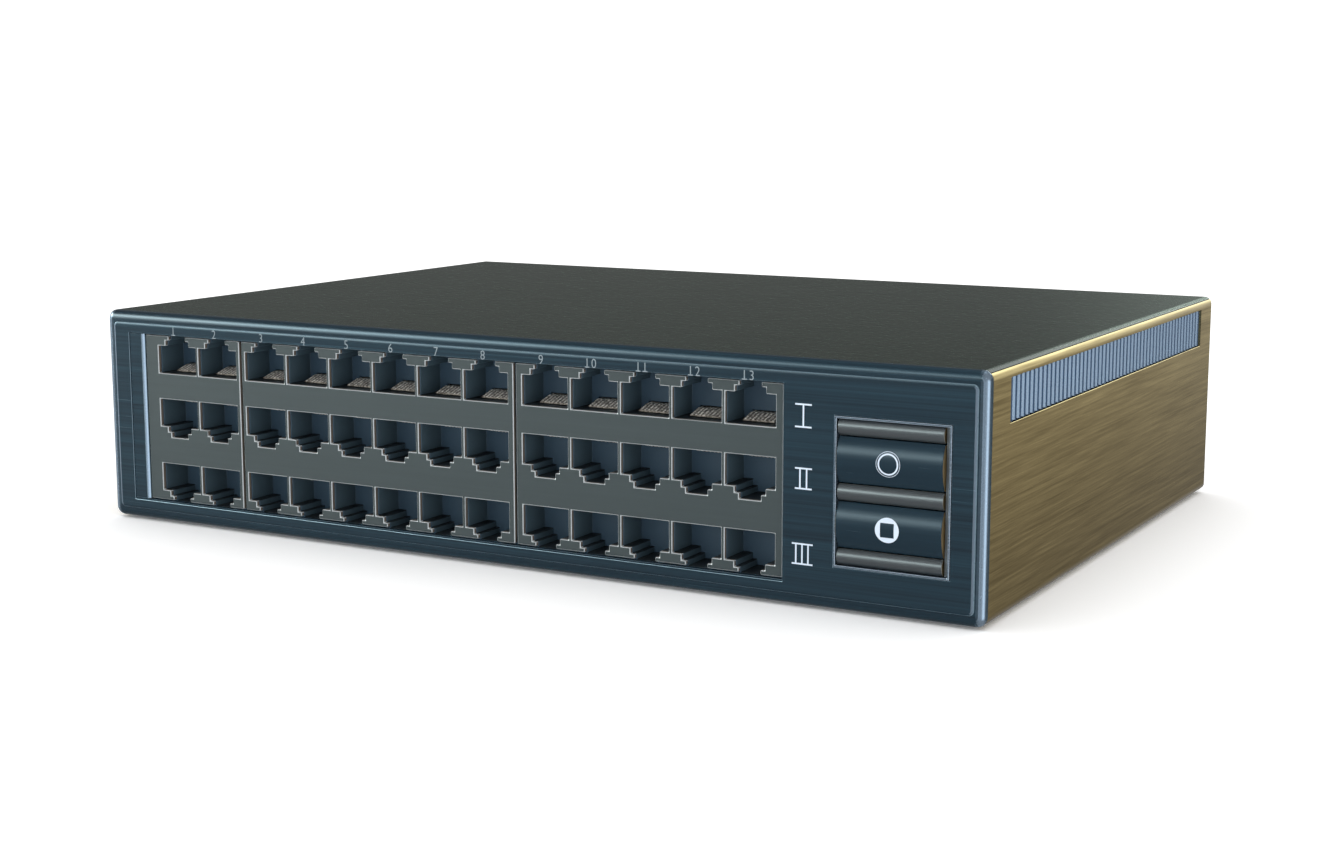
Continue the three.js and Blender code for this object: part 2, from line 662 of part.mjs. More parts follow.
function pushSwitch(i) {
  const half = SWITCH_SIZE / 2;
  const z = capMiddle(i);
  const boreBack = SWITCH_FRONT + PLUNGER_DEPTH + TRAVEL + 0.2;
  return cut(
    box(BAR_MIDDLE - half, BAR_MIDDLE + half, SWITCH_FRONT, BOARD_FRONT - GAP, z - half, z + half),
    rodY(BAR_MIDDLE, z, PLUNGER_RADIUS + GAP, SWITCH_FRONT - 1, boreBack, 16),
  );
}

// ---------------------------------------------------------------------------------------------------
// Electronics

const PORT_BOARD = { left: 14, right: 204, bottom: 4, top: 52.5 };
const CONTROL_BOARD = { left: 215.5, right: 246, bottom: 7, top: 47.5 };
const CHIP = { x: 104, y: 66, half: 14, height: 2.4 };

function uprightBoard({ left, right, bottom, top }) {
  return box(left, right, BOARD_FRONT, BOARD_FRONT + BOARD, bottom, top);
}

function levelBoard({ left, right, front, back }) {
  return box(left, right, front, back, BOARD_BOTTOM, BOARD_BOTTOM + BOARD);
}

function switchChip(bottom) {
  const { x, y, half, height } = CHIP;
  return box(x - half, x + half, y - half, y + half, bottom, bottom + height);
}

const SINK = { half: 19, base: 2.5, height: 14, fins: 8, fin: 1.6 };

function chipHeatSink(x, y, bottom) {
  const { half, base, height, fin } = SINK;
  const pitch = (2 * half - fin) / (SINK.fins - 1);
  const fins = Array.from({ length: SINK.fins }, (_, i) => {
    const left = x - half + i * pitch;
    return box(left, left + fin, y - half, y + half, bottom + base / 2, bottom + height);
  });
  return join(box(x - half, x + half, y - half, y + half, bottom, bottom + base), ...fins);
}

// Two flanges of a bobbin, the winding between them, and the core's legs at its sides
const BOBBIN = { halfX: 15, halfY: 11, flange: 5, height: 24, winding: 9.5 };
const CORE = { leg: 4, halfY: 6 };

function transformer(x, y, bottom) {
  const { halfX, halfY, flange, height, winding } = BOBBIN;
  const left = x - halfX;
  const right = x + halfX;
  const core = [y - CORE.halfY, y + CORE.halfY, bottom + flange / 2, bottom + height - flange / 2];
  return join(
    box(left, right, y - halfY, y + halfY, bottom, bottom + flange),
    box(left, right, y - halfY, y + halfY, bottom + height - flange, bottom + height),
    box(left, left + CORE.leg, ...core),
    box(right - CORE.leg, right, ...core),
    rodZ(x, y, winding, bottom + flange - 1, bottom + height - flange + 1, 20),
  );
}

// A snap-in capacitor with its rolled edge and the groove above it.
function capacitor(x, y, bottom) {
  const profile = [
    [0, 0],
    [8.4, 0],
    [9, 0.8],
    [9, 2.4],
    [8.5, 3.0],
    [9, 3.6],
    [9, 29.2],
    [8.4, 30],
    [0, 30],
  ].map(([radius, height]) => new THREE.Vector2(radius, height));
  return new THREE.LatheGeometry(profile, 16).rotateX(Math.PI / 2).translate(x, y, bottom);
}

// ---------------------------------------------------------------------------------------------------
// Rear: panel, fan, inlet and screws

const FAN_BACK = REAR_FACE - REAR_PANEL - GAP;
const FAN_SLOT_PITCH = 3.9;
const FAN_SLOT = 2.4;
const FAN_SLOT_MARGIN = 0.8; // how far the slots' ends stay inside the fan's bore

function rearPanel() {
  const front = REAR_FACE - REAR_PANEL;
  const plate = box(INNER_LEFT, INNER_RIGHT, front, REAR_FACE, TRAY + GAP, COVER_UNDERSIDE - GAP);
  const through = [front - 1, REAR_FACE + 1];
  const cuts = [];
  for (let i = -4; i <= 4; i += 1) {
    const z = i * FAN_SLOT_PITCH;
    const half = Math.sqrt(FAN.bore * FAN.bore - z * z) - FAN_SLOT_MARGIN;
    const middle = FAN.z + z;
    cuts.push(
      box(FAN.x - half, FAN.x + half, ...through, middle - FAN_SLOT / 2, middle + FAN_SLOT / 2),
    );
  }
  const inletX = INLET.width / 2 + GAP;
  const inletZ = INLET.height / 2 + GAP;
  cuts.push(box(INLET.x - inletX, INLET.x + inletX, ...through, INLET.z - inletZ, INLET.z + inletZ));
  for (const side of [-1, 1]) {
    for (const z of SCREW_HEIGHTS) {
      cuts.push(rodY(screwX(side), z, SCREW_RADIUS + GAP, ...through, 16));
    }
  }
  return cut(plate, ...cuts);
}

const SCREW_LENGTH = 8;
const CROSS = { half: 1.6, width: 0.4, depth: 0.8 }; // the recess in a screw's head

function rearScrew(side, z) {
  const x = screwX(side);
  const headStart = REAR_FACE + SEAM;
  const headEnd = DEPTH + REAR_PROUD - 0.2;
  const profile = [
    new THREE.Vector2(0, REAR_FACE - SCREW_LENGTH),
    new THREE.Vector2(SCREW_RADIUS, REAR_FACE - SCREW_LENGTH),
    new THREE.Vector2(SCREW_RADIUS, headStart),
    new THREE.Vector2(SCREW_HEAD, headStart),
    new THREE.Vector2(SCREW_HEAD, headEnd - 0.7),
    new THREE.Vector2(SCREW_HEAD * 0.7, headEnd - 0.1),
    new THREE.Vector2(0, headEnd),
  ];
  const recess = [headEnd - CROSS.depth, headEnd + 1];
  return cut(
    new THREE.LatheGeometry(profile, 12).translate(x, 0, z),
    box(x - CROSS.width, x + CROSS.width, ...recess, z - CROSS.half, z + CROSS.half),
    box(x - CROSS.half, x + CROSS.half, ...recess, z - CROSS.width, z + CROSS.width),
  );
}

// The inlet's flange, its mouth with two clipped corners, and its three pins
const FLANGE_LAP = 2;
const MOUTH = { halfX: 12, halfZ: 8.2, clip: 4 };
const PIN = { halfX: 1, halfZ: 2, set: 5.5 };
const PIN_PLACES = [
  [-7, -2.2],
  [0, 2.2],
  [7, -2.2],
];

function powerInlet() {
  const back = DEPTH + REAR_PROUD;
  const flangeStart = REAR_FACE + SEAM;
  const mouthFloor = back - INLET.depth;
  const left = INLET.x - INLET.width / 2;
  const right = INLET.x + INLET.width / 2;
  const bottom = INLET.z - INLET.height / 2;
  const top = INLET.z + INLET.height / 2;
  const flange = roundedRectangle(
    left - FLANGE_LAP,
    bottom - FLANGE_LAP,
    right + FLANGE_LAP,
    top + FLANGE_LAP,
    2.5,
  );
  const { halfX, halfZ, clip } = MOUTH;
  const mouth = new THREE.Shape([
    new THREE.Vector2(INLET.x - halfX, INLET.z - halfZ),
    new THREE.Vector2(INLET.x + halfX, INLET.z - halfZ),
    new THREE.Vector2(INLET.x + halfX, INLET.z + halfZ - clip),
    new THREE.Vector2(INLET.x + halfX - clip, INLET.z + halfZ),
    new THREE.Vector2(INLET.x - halfX + clip, INLET.z + halfZ),
    new THREE.Vector2(INLET.x - halfX, INLET.z + halfZ - clip),
  ]);
  const pins = PIN_PLACES.map(([x, z]) => {
    const pinX = [INLET.x + x - PIN.halfX, INLET.x + x + PIN.halfX];
    const pinZ = [INLET.z + z - PIN.halfZ, INLET.z + z + PIN.halfZ];
    return box(...pinX, mouthFloor - 0.5, back - PIN.set, ...pinZ);
  });
  const body = box(left, right, mouthFloor - 2, back - 0.5, bottom, top);
  return join(
    cut(join(extrudeY(flange, flangeStart, back), body), extrudeY(mouth, mouthFloor, back + 1)),
    ...pins,
  );
}

const HUB_RADIUS = 9.5;
const SHAFT_RADIUS = 1.2;
const STRUT = { width: 1.6, depth: 2.4, turn: 0.5 };
const BLADE = { count: 7, thickness: 1.0, chord: 8.0, pitch: THREE.MathUtils.degToRad(38) };
const TIP_CLEARANCE = 1.2;
const HUB_LAP = 1.5; // how far the blades' roots reach into the hub
const STATOR_FRONT = FAN_BACK - 1.7;
const STATOR_BACK = FAN_BACK - 0.1;

function fanFrame() {
  const front = FAN_BACK - FAN.thick;
  const half = FAN.size / 2;
  const outline = roundedRectangle(FAN.x - half, FAN.z - half, FAN.x + half, FAN.z + half, 3);
  const innerEnd = 5;
  const outerEnd = FAN.bore + 1;
  const struts = [0, 1, 2].map((i) => {
    const strut = new THREE.BoxGeometry(outerEnd - innerEnd, STRUT.width, STRUT.depth);
    strut.translate((outerEnd + innerEnd) / 2, 0, 0).rotateY((i * 2 * Math.PI) / 3 + STRUT.turn);
    return strut.translate(FAN.x, (STATOR_FRONT + STATOR_BACK) / 2, FAN.z);
  });
  return cut(
    join(
      cut(extrudeY(outline, front, FAN_BACK), rodY(FAN.x, FAN.z, FAN.bore, front - 1, FAN_BACK + 1, 32)),
      rodY(FAN.x, FAN.z, HUB_RADIUS, STATOR_FRONT, STATOR_BACK, 24),
      ...struts,
    ),
    rodY(FAN.x, FAN.z, SHAFT_RADIUS + GAP, STATOR_FRONT - 1, FAN_BACK - 0.7, 12),
  );
}

function fanRotor() {
  const front = FAN_BACK - FAN.thick + 0.5;
  const hubBack = STATOR_FRONT - 0.5;
  const tip = FAN.bore - TIP_CLEARANCE;
  const root = HUB_RADIUS - HUB_LAP;
  const blades = Array.from({ length: BLADE.count }, (_, i) => {
    const blade = new THREE.BoxGeometry(tip - root, BLADE.thickness, BLADE.chord);
    blade.rotateX(BLADE.pitch).translate((tip + root) / 2, 0, 0);
    blade.rotateY((i * 2 * Math.PI) / BLADE.count);
    return blade.translate(FAN.x, (front + hubBack) / 2, FAN.z);
  });
  return join(
    rodY(FAN.x, FAN.z, HUB_RADIUS, front, hubBack, 24),
    rodY(FAN.x, FAN.z, SHAFT_RADIUS, hubBack - 1, FAN_BACK - 0.9, 12),
    ...blades,
  );
}

// ---------------------------------------------------------------------------------------------------
// Assembly

const casing = new THREE.Group();
casing.add(
  piece("base_tray", baseTray(), STEEL),
  piece("top_cover", topCover(), OLIVE),
  piece("side_cheek_left", sideCheek(-1), BRONZE),
  piece("side_cheek_right", sideCheek(1), BRONZE),
  piece("vent_grille_left", ventGrille(-1), VENT_BLUE),
  piece("vent_grille_right", ventGrille(1), VENT_BLUE),
  piece("rear_panel", rearPanel(), STEEL),
  piece("front_bezel", frontBezel(), BLUE),
  piece("filler_strip", fillerStrip(), BLUE),
);
for (const centre of footCentres()) casing.add(piece(`foot_${centre.name}`, foot(centre), RUBBER));

const portBank = new THREE.Group();
for (const group of GROUPS) {
  portBank.add(piece(`port_plate_${group.name}`, portPlate(group), PLATE_GREY));
  for (const row of ROWS) {
    portBank.add(piece(`jack_block_${row.name}_${group.name}`, jackBlock(group, row), JACK_NAVY));
    portBank.add(piece(`contact_insert_${row.name}_${group.name}`, contactInsert(group, row), GOLD));
  }
}

const controls = new THREE.Group();
controls.add(
  piece("control_housing", controlHousing(), BAR_GREY),
  piece("control_trim", controlTrim(), TRIM_BLUE),
);
["lower", "middle", "upper"].forEach((name, i) => {
  controls.add(piece(`grip_bar_${name}`, gripBar(i), BAR_GREY));
});
["lower", "upper"].forEach((name, i) => {
  controls.add(
    piece(`button_cap_${name}`, buttonCap(i), CAP_BLUE),
    piece(`switch_plunger_${name}`, switchPlunger(i), BLACK_PLASTIC),
    piece(`push_switch_${name}`, pushSwitch(i), BLACK_PLASTIC),
  );
});

const electronics = new THREE.Group();
const partBottom = BOARD_BOTTOM + BOARD + GAP;
electronics.add(
  piece("port_board", uprightBoard(PORT_BOARD), BOARD_GREEN),
  piece("control_board", uprightBoard(CONTROL_BOARD), BOARD_GREEN),
  piece("main_board", levelBoard(MAIN_BOARD), BOARD_GREEN),
  piece("switch_chip", switchChip(partBottom), CHIP_BLACK),
  piece("chip_heat_sink", chipHeatSink(CHIP.x, CHIP.y, partBottom + CHIP.height + GAP), STEEL),
  piece("power_board", levelBoard(POWER_BOARD), BOARD_GREEN),
  piece("power_transformer", transformer(180, 143, partBottom), WINDING_AMBER),
  piece("bulk_capacitor", capacitor(212, 138, partBottom), CHIP_BLACK),
);

const rear = new THREE.Group();
rear.add(
  piece("power_inlet", powerInlet(), BLACK_PLASTIC),
  piece("fan_frame", fanFrame(), BLACK_PLASTIC),
  piece("fan_rotor", fanRotor(), BLACK_PLASTIC),
);
for (const [sideName, side] of [["left", -1], ["right", 1]]) {
  SCREW_HEIGHTS.forEach((z, i) => {
    const heightName = ["lower", "upper"][i];
    rear.add(piece(`rear_screw_${heightName}_${sideName}`, rearScrew(side, z), STEEL));
  });
}

const networkSwitch = new THREE.Group();
networkSwitch.add(casing, portBank, controls, electronics, rear);
const crownProud = CROWN - CONTROL_FLOOR;
networkSwitch.position.set(-WIDTH / 2, -(DEPTH + REAR_PROUD - crownProud) / 2, FOOT_PROUD);

const part = new THREE.Group();
part.add(networkSwitch);
export default part;
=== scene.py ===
"""The looks of the network switch: its finishes, its printed marks and its stage, round the CAD model.

Metres, in the frame's own axes: X to the right as seen from the front, Y from front to back, Z up.
Places on the casing are written in millimetres from its lower left front corner, through at().
"""
import json
import math

import bmesh
import bpy
from mathutils import Matrix, Vector


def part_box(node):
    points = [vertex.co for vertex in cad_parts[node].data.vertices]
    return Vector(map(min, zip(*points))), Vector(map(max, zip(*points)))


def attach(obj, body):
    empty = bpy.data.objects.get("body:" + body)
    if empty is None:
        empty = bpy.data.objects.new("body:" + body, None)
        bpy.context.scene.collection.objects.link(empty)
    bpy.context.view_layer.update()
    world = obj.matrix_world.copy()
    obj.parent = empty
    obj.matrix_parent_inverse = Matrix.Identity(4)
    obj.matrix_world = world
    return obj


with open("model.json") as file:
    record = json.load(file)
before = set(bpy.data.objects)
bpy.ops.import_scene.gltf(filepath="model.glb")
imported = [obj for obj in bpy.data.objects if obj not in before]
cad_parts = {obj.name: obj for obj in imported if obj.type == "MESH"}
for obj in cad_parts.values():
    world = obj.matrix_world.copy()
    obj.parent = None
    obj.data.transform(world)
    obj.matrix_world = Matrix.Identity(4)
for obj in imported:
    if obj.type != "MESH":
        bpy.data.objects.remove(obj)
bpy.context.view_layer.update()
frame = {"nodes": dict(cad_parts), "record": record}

MM = 0.001

# ---------------------------------------------------------------------------------------------------
# The casing's own corner, from the frame

PANEL_RAISE = 0.3  # how far the face panel stands in front of the rest of the bezel
BEZEL_LOW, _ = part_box("front_bezel")
CORNER = Vector((BEZEL_LOW.x, BEZEL_LOW.y + PANEL_RAISE * MM, BEZEL_LOW.z))


def at(x, y, z):
    return CORNER + Vector((x, y, z)) * MM


# ---------------------------------------------------------------------------------------------------
# Camera

CAMERA_PLACE = (406.48, -414.02, 116.82)  # millimetres from the casing's corner
CAMERA_AZIMUTH = math.radians(29.133)
CAMERA_ELEVATION = math.radians(9.233)
LENS = 55.44
SENSOR = 36.0
NEAREST_SEEN = 0.01


def make_camera():
    data = bpy.data.cameras.new("camera")
    data.lens = LENS
    data.sensor_width = SENSOR
    data.clip_start = NEAREST_SEEN
    camera = bpy.data.objects.new("camera", data)
    camera.location = at(*CAMERA_PLACE)
    forward = Vector((
        -math.sin(CAMERA_AZIMUTH) * math.cos(CAMERA_ELEVATION),
        math.cos(CAMERA_AZIMUTH) * math.cos(CAMERA_ELEVATION),
        -math.sin(CAMERA_ELEVATION),
    ))
    camera.rotation_euler = forward.to_track_quat("-Z", "Y").to_euler()
    bpy.context.scene.collection.objects.link(camera)
    bpy.context.scene.camera = camera


make_camera()

# ---------------------------------------------------------------------------------------------------
# Node trees


class Tree:
    """A node tree with short ways to add and link its nodes."""

    def __init__(self, tree):
        self.tree = tree
        tree.nodes.clear()

    def add(self, kind, inputs=None, **settings):
        node = self.tree.nodes.new(kind)
        for name, value in settings.items():
            setattr(node, name, value)
        for name, value in (inputs or {}).items():
            self.put(node.inputs[name], value)
        return node

    def put(self, socket, value):
        if isinstance(value, bpy.types.Node):
            value = value.outputs[0]
        if isinstance(value, bpy.types.NodeSocket):
            self.tree.links.new(value, socket)
        else:
            socket.default_value = value

    def math(self, operation, a, b=0.0, c=0.0, clamp=False):
        node = self.add("ShaderNodeMath", {0: a, 1: b, 2: c}, operation=operation)
        node.use_clamp = clamp
        return node.outputs[0]

    def size(self, value):
        """A value without its sign."""
        return self.math("ABSOLUTE", value)

    def weighted(self, a, share_a, b, share_b):
        """The sum of two values, each times its share."""
        return self.math("ADD", self.math("MULTIPLY", a, share_a), self.math("MULTIPLY", b, share_b))

    def stretch(self, value, factor):
        """A value with its distance from a half times a factor, kept within 0 and 1."""
        return self.math("MULTIPLY_ADD", self.math("SUBTRACT", value, 0.5), factor, 0.5, clamp=True)

    def around(self, middle, spread, value):
        """A value of 0 to 1 as a number within half the spread of the middle."""
        return self.math("MULTIPLY_ADD", value, spread, middle - spread / 2)

    def ramp(self, value, start, end, low=0.0, high=1.0, **settings):
        """low up to the start, high from the end on, and an even change in between."""
        limits = {"Value": value, "From Min": start, "From Max": end, "To Min": low, "To Max": high}
        return self.add("ShaderNodeMapRange", limits, **settings).outputs[0]

    def scaled(self, vector, factor):
        return self.add("ShaderNodeVectorMath", {0: vector, "Scale": factor}, operation="SCALE").outputs[0]

    def blend(self, factor, low, high):
        return self.add("ShaderNodeMix", {0: factor, 6: low, 7: high}, data_type="RGBA").outputs[2]

    def place(self):
        """Where a point is, in metres in the object's own axes."""
        return self.add("ShaderNodeTexCoord").outputs["Object"]

    def normal(self):
        """The face's own direction, split into X, Y and Z."""
        direction = self.add("ShaderNodeNewGeometry").outputs["True Normal"]
        return self.add("ShaderNodeSeparateXYZ", {0: direction})

    def noise(self, place, scale, detail=2.0, roughness=0.5):
        """Noise of a given number of features in a metre along X, Y and Z."""
        stretched = self.add("ShaderNodeMapping", {"Vector": place, "Scale": scale})
        inputs = {"Vector": stretched, "Scale": 1.0, "Detail": detail, "Roughness": roughness}
        return self.add("ShaderNodeTexNoise", inputs).outputs[0]


def srgb(code):
    """A colour written as six hexadecimal digits, in linear light."""
    values = [int(code[i:i + 2], 16) / 255 for i in (0, 2, 4)]
    return (*[v / 12.92 if v <= 0.04045 else ((v + 0.055) / 1.055) ** 2.4 for v in values], 1.0)


# ---------------------------------------------------------------------------------------------------
# Studio: an even white room, which glossy surfaces see as grey with a few soft lights in it

# name, azimuth from the front towards the right, half width, elevation, half height, softness (degrees),
# colour, strength
LIGHTS = [
    ("front_strip", -34, 28, 15, 5, 8, (0.92, 1.0, 0.94), 5.4),
    ("front_strip_left", -60, 22, 14, 6, 12, (0.93, 1.0, 0.94), 16.0),
    ("front_fill", -70, 42, -5, 9, 22, (0.96, 1.0, 0.98), 0.42),
    ("right_near", 9, 14, -10, 18, 9, (0.84, 0.94, 1.0), 0.35),
    ("right", 50, 14, -10, 18, 8, (0.94, 0.97, 1.0), 1.5),
    ("behind", 160, 14, 9, 12, 8, (0.94, 1.0, 1.02), 1.65),
    ("behind_high", 178, 13, 18, 6, 9, (0.95, 1.02, 1.0), 8.2),
    ("behind_low", 160, 26, -12, 26, 12, (1.0, 0.94, 0.80), 0.44),
    ("above", 0, 180, 88, 14, 14, (0.9, 1.0, 1.0), 0.6),
]
GREY_ROOM = 0.34
WHITE_ROOM = 1.05


def within(tree, distance, half, soft):
    """1 well within half a window's size, 0 well outside it, and a soft edge between."""
    return tree.ramp(distance, half + soft, half - soft, interpolation_type="SMOOTHSTEP")


def add_light(tree, room, azimuth, elevation, light):
    """The colour of the room with one more light in it."""
    _, light_azimuth, half_width, light_elevation, half_height, soft, colour, strength = light
    turned = tree.math("WRAP", tree.math("SUBTRACT", azimuth, light_azimuth), 180.0, -180.0)
    raised = tree.math("SUBTRACT", elevation, light_elevation)
    across = within(tree, tree.size(turned), half_width, soft)
    up = within(tree, tree.size(raised), half_height, soft)
    glow = tree.scaled(colour, tree.math("MULTIPLY", tree.math("MULTIPLY", across, up), strength))
    return tree.add("ShaderNodeVectorMath", {0: room, 1: glow}, operation="ADD").outputs[0]


def make_world():
    world = bpy.data.worlds.new("studio")
    bpy.context.scene.world = world
    world.use_nodes = True
    world.cycles.sampling_method = "NONE"
    tree = Tree(world.node_tree)
    ray = tree.add("ShaderNodeSeparateXYZ", {0: tree.add("ShaderNodeTexCoord").outputs["Generated"]})
    forward = tree.math("MULTIPLY", ray.outputs[1], -1.0)
    azimuth = tree.math("DEGREES", tree.math("ARCTAN2", ray.outputs[0], forward))
    elevation = tree.math("DEGREES", tree.math("ARCSINE", ray.outputs[2]))
    lit_room = (GREY_ROOM, GREY_ROOM, GREY_ROOM)
    for light in LIGHTS:
        lit_room = add_light(tree, lit_room, azimuth, elevation, light)
    lit = tree.add("ShaderNodeBackground", {"Color": lit_room})
    even = tree.add("ShaderNodeBackground", {"Color": (WHITE_ROOM, WHITE_ROOM, WHITE_ROOM, 1)})
    is_glossy = tree.add("ShaderNodeLightPath").outputs["Is Glossy Ray"]
    seen = tree.add("ShaderNodeMixShader", {0: is_glossy, 1: even, 2: lit})
    tree.add("ShaderNodeOutputWorld", {"Surface": seen})


FLOOR_REACH = 30.0
FLOOR_WHITE = 1.3  # over 1, so that the floor outside the soft shadow is as white as the room


def make_floor():
    reach = FLOOR_REACH
    corners = [(-reach, -reach, 0), (reach, -reach, 0), (reach, reach, 0), (-reach, reach, 0)]
    mesh = bpy.data.meshes.new("floor")
    mesh.from_pydata(corners, [], [(0, 1, 2, 3)])
    floor = bpy.data.objects.new("floor", mesh)
    bpy.context.scene.collection.objects.link(floor)
    material = bpy.data.materials.new("floor_white")
    material.use_nodes = True
    tree = Tree(material.node_tree)
    white = tree.add("ShaderNodeBsdfDiffuse", {"Color": (FLOOR_WHITE, FLOOR_WHITE, FLOOR_WHITE, 1)})
    tree.add("ShaderNodeOutputMaterial", {"Surface": white})
    floor.data.materials.append(material)
    floor.visible_glossy = False


make_world()
make_floor()
bpy.context.scene.view_settings.view_transform = "Standard"

# ---------------------------------------------------------------------------------------------------
# Finishes. Depths of bumps are in millimetres, and counts of features are for a metre.

# Brush marks
STROKE_DETAIL = 3.0
STROKE_ROUGHNESS = 0.6
FINE_SHARE = 0.45
BROAD_SHARE = 0.55
TONE_STRETCH = 3.0
BRUSHED_SPREAD = 0.16  # how far the roughness varies
# Faces by a part of their direction: walls look less than this to the front or back, and ends more than this
# to the left or right. Roundings lie where both ramps are up.
WALL_UNDER = 0.3
END_OVER = 0.9
# Where the painted highlight on the roundings fades in and out, and how metallic it is there
CORNER_RISE = (0.05, 0.35)
CORNER_FALL = (0.88, 0.66)
CORNER_METALLIC = 0.9
# The heights in millimetres at which the shade at the bottom is full and is gone
SHADE_FROM = 4
SHADE_TO = 44
# Moulded plastic and rubber
GRAIN = 1500
GRAIN_DETAIL = 3.0
GRAIN_DEPTH = 0.02
MOULDED_SPREAD = 0.15
CLOUDS = 60
# The jacks' plastic, with painted light and shade by the way its faces look
JACK_FACING = 0.7  # faces that look further than this to the front are backs, and further up are floors
JACK_CLOUDS = 90
JACK_CLOUD_SHARE = 0.3
JACK_ROUGHNESS = 0.525
# Speckled metal
SPOT_WIDTH = 0.6
SPOT_STRETCH = 6.0
SPOT_SPREAD = 0.2
SPOT_DEPTH = 0.03


def principled(name, metallic, edge=None):
    material = bpy.data.materials.new(name)
    material.use_nodes = True
    tree = Tree(material.node_tree)
    shader = tree.add("ShaderNodeBsdfPrincipled", {"Metallic": metallic})
    if edge is not None:
        shader.inputs["Specular Tint"].default_value = (*edge, 1.0)
    tree.add("ShaderNodeOutputMaterial", {"Surface": shader})
    return material, tree, shader


def surface(tree, shader, colour, roughness, height, depth):
    """The colour and roughness of a shader, and its bump of a depth."""
    tree.put(shader.inputs["Base Color"], colour)
    tree.put(shader.inputs["Roughness"], roughness)
    tree.put(shader.inputs["Normal"], tree.add("ShaderNodeBump", {"Height": height, "Distance": depth * MM}))


def corner_mask(tree):
    """1 on the roundings between the front and the sides, and 0 on the flat faces: where the painted
    highlight goes.
    """
    sideways = tree.size(tree.normal().outputs[0])
    return tree.math("MULTIPLY", tree.ramp(sideways, *CORNER_RISE), tree.ramp(sideways, *CORNER_FALL))


def brushed(
    name, light, dark, fine, broad, roughness, metallic, edge=None, contrast=1.0, depth=0.01,
    wall_light=None, end_light=None, corner_highlight=None, shade=None,
):
    """Metal with brush marks: fine and broad are counts of strokes along X, Y and Z.

    edge is the tint of reflections at a glancing angle. The wall colour is a painted reflection of warm
    light on faces that look sideways, up or down, the end colour is painted light on what faces left or
    right, and the corner colour is a painted highlight on the upright roundings, which are made more
    metallic there. shade is how much of the tone is left at the bottom of the casing.
    """
    material, tree, shader = principled(name, metallic, edge)
    place = tree.place()
    strokes = tree.noise(place, fine, STROKE_DETAIL, STROKE_ROUGHNESS)
    streaks = tree.noise(place, broad, STROKE_DETAIL, STROKE_ROUGHNESS)
    tone = tree.weighted(strokes, FINE_SHARE, streaks, BROAD_SHARE)
    colour = tree.blend(tree.stretch(tone, TONE_STRETCH * contrast), srgb(dark), srgb(light))
    # Faces that look sideways, up or down get a painted reflection of warm light
    if wall_light is not None:
        is_lit_wall = tree.math("LESS_THAN", tree.size(tree.normal().outputs[1]), WALL_UNDER)
        colour = tree.blend(is_lit_wall, colour, srgb(wall_light))
    # Faces that look left or right get painted warm light
    if end_light is not None:
        is_lit_end = tree.math("GREATER_THAN", tree.size(tree.normal().outputs[0]), END_OVER)
        colour = tree.blend(is_lit_end, colour, srgb(end_light))
    if shade is not None:
        height = tree.add("ShaderNodeSeparateXYZ", {0: place}).outputs[2]
        colour = tree.scaled(colour, tree.ramp(height, SHADE_FROM * MM, SHADE_TO * MM, shade))
    # A painted highlight on the upright roundings, which are also made more metallic
    if corner_highlight is not None:
        painted_highlight = corner_mask(tree)
        colour = tree.blend(painted_highlight, colour, srgb(corner_highlight))
        shine = tree.math("MULTIPLY_ADD", painted_highlight, CORNER_METALLIC - metallic, metallic)
        tree.put(shader.inputs["Metallic"], shine)
    surface(tree, shader, colour, tree.around(roughness, BRUSHED_SPREAD, strokes), tone, depth)
    return material


def moulded(name, colour, roughness, grain=GRAIN, variation=0.12):
    """Plastic, rubber or board: a fine grain and a slight change of tone."""
    material, tree, shader = principled(name, 0.0)
    place = tree.place()
    fine = tree.noise(place, (grain, grain, grain), GRAIN_DETAIL)
    slow = tree.noise(place, (CLOUDS, CLOUDS, CLOUDS))
    base = srgb(colour)
    low = (*[c * (1 - variation) for c in base[:3]], 1.0)
    high = (*[c * (1 + variation) for c in base[:3]], 1.0)
    toned = tree.blend(tree.weighted(fine, 0.5, slow, 0.5), low, high)
    surface(tree, shader, toned, tree.around(roughness, MOULDED_SPREAD, fine), fine, GRAIN_DEPTH)
    return material


def jack_plastic(name, sides, back_light, floor_shade, clouds):
    """Dark plastic with painted light and shade: a colour for each way that the inside of a jack faces, and
    faint clouds.
    """
    material, tree, shader = principled(name, 0.0)
    place = tree.place()
    fine = tree.noise(place, (GRAIN, GRAIN, GRAIN), GRAIN_DETAIL)
    slow = tree.noise(place, (JACK_CLOUDS, JACK_CLOUDS, JACK_CLOUDS))
    normal = tree.normal()
    # Painted light on the backs and painted shade on the floors
    is_lit_back = tree.math("LESS_THAN", normal.outputs[1], -JACK_FACING)
    is_shaded_floor = tree.math("GREATER_THAN", normal.outputs[2], JACK_FACING)
    colour = tree.blend(is_lit_back, srgb(sides), srgb(back_light))
    colour = tree.blend(is_shaded_floor, colour, srgb(floor_shade))
    colour = tree.blend(tree.math("MULTIPLY", slow, JACK_CLOUD_SHARE), colour, srgb(clouds))
    surface(tree, shader, colour, tree.around(JACK_ROUGHNESS, MOULDED_SPREAD, fine), fine, GRAIN_DEPTH)
    return material


def speckled(name, light, dark, roughness, metallic):
    """Metal mottled in small spots."""
    material, tree, shader = principled(name, metallic)
    spots = tree.stretch(tree.noise(tree.place(), [1 / (SPOT_WIDTH * MM)] * 3, 1.0), SPOT_STRETCH)
    colour = tree.blend(spots, srgb(dark), srgb(light))
    surface(tree, shader, colour, tree.around(roughness, SPOT_SPREAD, spots), spots, SPOT_DEPTH)
    return material


LINES_X = {"fine": (12, 2200, 2200), "broad": (5, 1300, 1300)}
ALONG_X = {"fine": (40, 2400, 2400), "broad": (9, 700, 700)}
ALONG_Y = {"fine": (3200, 50, 3200), "broad": (1200, 26, 1200)}
ALONG_Z = {"fine": (2400, 2400, 60), "broad": (700, 700, 20)}

